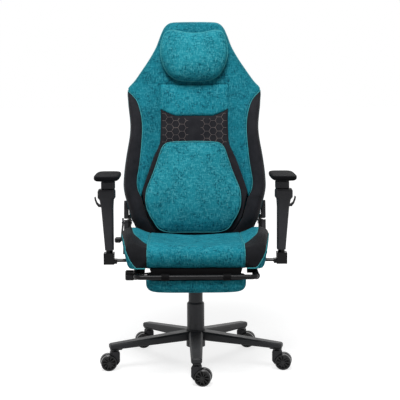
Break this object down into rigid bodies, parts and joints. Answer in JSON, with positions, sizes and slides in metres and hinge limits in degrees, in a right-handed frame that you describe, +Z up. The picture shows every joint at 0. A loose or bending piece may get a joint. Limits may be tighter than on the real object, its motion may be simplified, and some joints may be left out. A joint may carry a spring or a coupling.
{
  "type": "gaming chair",
  "caption": "Racing-style gaming chair with a five-star caster base, gas column, tilting seat, reclining back, adjustable armrests, head and lumbar pillows and a sliding footrest.",
  "frame": {"origin": "on the floor, on the axis of the column", "axes": "+Z up, the seat faces -Y, +X to the right of a viewer in front"},
  "size_m": [0.76, 0.7699, 1.3128],
  "materials": {
    "base_metal": "satin black powder coat",
    "frame_metal": "semi-gloss black enamel",
    "plastic": "fine-grained black moulding",
    "gloss_plastic": "glossy black wheel moulding",
    "steel": "zinc-plated steel",
    "teal_fabric": "mottled teal chenille",
    "black_fabric": "black woven cloth",
    "arm_pad": "soft black polyurethane"
  },
  "bodies": {
    "base": {"star_base": "base_metal", "caster_sockets": "plastic", "column_tube": "frame_metal", "guide_bush": "plastic", "lift_cover_lower": "plastic"},
    "turntable": {"gas_rod": "steel", "thrust_bearing": "steel", "retaining_clip": "steel"},
    "lift": {"gas_tube": "frame_metal", "lift_cover_upper": "plastic", "mechanism_housing": "frame_metal", "tilt_spring": "steel", "tilt_pin": "steel"},
    "tension_knob": {"tension_knob": "plastic"},
    "height_lever": {"height_lever_rod": "frame_metal", "height_lever_grip": "plastic"},
    "seat": {"seat_plate": "frame_metal", "seat_frame": "frame_metal", "seat_cushion": "teal_fabric", "seat_bolsters": "black_fabric", "recline_brackets": "frame_metal", "hinge_covers_seat": "plastic", "hinge_pins": "steel", "arm_brackets": "frame_metal", "arm_sleeves": "plastic", "footrest_rails": "frame_metal", "rail_bushes": "plastic", "seat_bolts": "steel"},
    "recline_lever": {"recline_lever": "plastic"},
    "back": {"back_frame": "frame_metal", "back_plates": "frame_metal", "hinge_covers_back": "plastic", "back_cushion": "teal_fabric", "back_bolsters": "black_fabric", "back_rear_cover": "teal_fabric", "back_bolts": "steel"},
    "head_pillow": {"head_pillow": "teal_fabric"},
    "lumbar_pillow": {"lumbar_pillow": "teal_fabric"},
    "footrest_slide": {"footrest_frame": "frame_metal"},
    "footrest_panel": {"footrest_clamps": "frame_metal", "footrest_board": "plastic", "footrest_pad": "teal_fabric"},
    "arm_post_left": {"arm_post_left": "plastic"},
    "arm_trigger_left": {"arm_trigger_left": "plastic"},
    "arm_carriage_left": {"arm_carriage_left": "plastic"},
    "arm_pad_left": {"arm_pad_left": "arm_pad"},
    "arm_post_right": {"arm_post_right": "plastic"},
    "arm_trigger_right": {"arm_trigger_right": "plastic"},
    "arm_carriage_right": {"arm_carriage_right": "plastic"},
    "arm_pad_right": {"arm_pad_right": "arm_pad"},
    "caster_1": {"caster_fork_1": "plastic"},
    "wheels_1": {"caster_wheels_1": "gloss_plastic"},
    "caster_2": {"caster_fork_2": "plastic"},
    "wheels_2": {"caster_wheels_2": "gloss_plastic"},
    "caster_3": {"caster_fork_3": "plastic"},
    "wheels_3": {"caster_wheels_3": "gloss_plastic"},
    "caster_4": {"caster_fork_4": "plastic"},
    "wheels_4": {"caster_wheels_4": "gloss_plastic"},
    "caster_5": {"caster_fork_5": "plastic"},
    "wheels_5": {"caster_wheels_5": "gloss_plastic"}
  },
  "joints": [
    {"name": "seat_swivel", "type": "hinge", "parent": "base", "child": "turntable", "pos_m": [0, 0, 0.1], "axis": [0, 0, 1], "continuous": true},
    {"name": "seat_height", "type": "slide", "parent": "turntable", "child": "lift", "axis": [0, 0, 1], "range_m": [-0.045, 0.045]},
    {"name": "tension_turn", "type": "hinge", "parent": "lift", "child": "tension_knob", "pos_m": [0, -0.08, 0.32], "axis": [0, 0, 1], "continuous": true},
    {"name": "height_lever_lift", "type": "hinge", "parent": "lift", "child": "height_lever", "pos_m": [-0.078, 0.02, 0.354], "axis": [0, 1, 0], "range_deg": [0, 4], "stiffness_Nm_per_rad": 4, "springref_deg": -8.59},
    {"name": "seat_tilt", "type": "hinge", "parent": "lift", "child": "seat", "pos_m": [0, -0.042, 0.388], "axis": [-1, 0, 0], "range_deg": [0, 12], "stiffness_Nm_per_rad": 170, "springref_deg": -20.05, "deforming": ["tilt_spring"]},
    {"name": "back_recline", "type": "hinge", "parent": "seat", "child": "back", "pos_m": [0, 0.232, 0.515], "axis": [-1, 0, 0], "range_deg": [-6, 55]},
    {"name": "recline_lever_lift", "type": "hinge", "parent": "seat", "child": "recline_lever", "pos_m": [-0.287, 0.232, 0.515], "axis": [-1, 0, 0], "range_deg": [0, 25], "stiffness_Nm_per_rad": 0.8, "springref_deg": -28.65},
    {"name": "head_pillow_slide", "type": "slide", "parent": "back", "child": "head_pillow", "axis": [0, 0.1908, 0.9816], "range_m": [-0.06, 0.02]},
    {"name": "lumbar_pillow_slide", "type": "slide", "parent": "back", "child": "lumbar_pillow", "axis": [0, 0.1908, 0.9816], "range_m": [0, 0.05]},
    {"name": "footrest_pull", "type": "slide", "parent": "seat", "child": "footrest_slide", "axis": [0, -1, 0], "range_m": [0, 0.27]},
    {"name": "footrest_flip", "type": "hinge", "parent": "footrest_slide", "child": "footrest_panel", "pos_m": [0, -0.285, 0.383], "axis": [1, 0, 0], "range_deg": [-180, 0]},
    {"name": "arm_height_left", "type": "slide", "parent": "seat", "child": "arm_post_left", "axis": [0, 0, 1], "range_m": [0, 0.07]},
    {"name": "arm_trigger_left_press", "type": "hinge", "parent": "seat", "child": "arm_trigger_left", "pos_m": [-0.362, -0.01, 0.609], "axis": [0, 1, 0], "range_deg": [0, 10], "stiffness_Nm_per_rad": 0.3, "springref_deg": -17.19},
    {"name": "arm_turn_left", "type": "hinge", "parent": "arm_post_left", "child": "arm_carriage_left", "pos_m": [-0.328, -0.01, 0.7], "axis": [0, 0, 1], "range_deg": [-25, 25]},
    {"name": "arm_slide_left", "type": "slide", "parent": "arm_carriage_left", "child": "arm_pad_left", "axis": [0, -1, 0], "range_m": [-0.025, 0.025]},
    {"name": "arm_height_right", "type": "slide", "parent": "seat", "child": "arm_post_right", "axis": [0, 0, 1], "range_m": [0, 0.07]},
    {"name": "arm_trigger_right_press", "type": "hinge", "parent": "seat", "child": "arm_trigger_right", "pos_m": [0.362, -0.01, 0.609], "axis": [0, -1, 0], "range_deg": [0, 10], "stiffness_Nm_per_rad": 0.3, "springref_deg": -17.19},
    {"name": "arm_turn_right", "type": "hinge", "parent": "arm_post_right", "child": "arm_carriage_right", "pos_m": [0.328, -0.01, 0.7], "axis": [0, 0, 1], "range_deg": [-25, 25]},
    {"name": "arm_slide_right", "type": "slide", "parent": "arm_carriage_right", "child": "arm_pad_right", "axis": [0, -1, 0], "range_m": [-0.025, 0.025]},
    {"name": "caster_1_swivel", "type": "hinge", "parent": "base", "child": "caster_1", "pos_m": [0, -0.32, 0.08], "axis": [0, 0, 1], "continuous": true},
    {"name": "wheels_1_roll", "type": "hinge", "parent": "caster_1", "child": "wheels_1", "pos_m": [0.02363, -0.32417, 0.03], "axis": [0.1736, 0.9848, 0], "continuous": true},
    {"name": "caster_2_swivel", "type": "hinge", "parent": "base", "child": "caster_2", "pos_m": [0.30434, -0.09889, 0.08], "axis": [0, 0, 1], "continuous": true},
    {"name": "wheels_2_roll", "type": "hinge", "parent": "caster_2", "child": "wheels_2", "pos_m": [0.32797, -0.10305, 0.03], "axis": [0.1736, 0.9848, 0], "continuous": true},
    {"name": "caster_3_swivel", "type": "hinge", "parent": "base", "child": "caster_3", "pos_m": [0.18809, 0.25888, 0.08], "axis": [0, 0, 1], "continuous": true},
    {"name": "wheels_3_roll", "type": "hinge", "parent": "caster_3", "child": "wheels_3", "pos_m": [0.21173, 0.25472, 0.03], "axis": [0.1736, 0.9848, 0], "continuous": true},
    {"name": "caster_4_swivel", "type": "hinge", "parent": "base", "child": "caster_4", "pos_m": [-0.18809, 0.25888, 0.08], "axis": [0, 0, 1], "continuous": true},
    {"name": "wheels_4_roll", "type": "hinge", "parent": "caster_4", "child": "wheels_4", "pos_m": [-0.21173, 0.25472, 0.03], "axis": [0.1736, -0.9848, 0], "continuous": true},
    {"name": "caster_5_swivel", "type": "hinge", "parent": "base", "child": "caster_5", "pos_m": [-0.30434, -0.09889, 0.08], "axis": [0, 0, 1], "continuous": true},
    {"name": "wheels_5_roll", "type": "hinge", "parent": "caster_5", "child": "wheels_5", "pos_m": [-0.32797, -0.10305, 0.03], "axis": [0.1736, -0.9848, 0], "continuous": true}
  ]
}
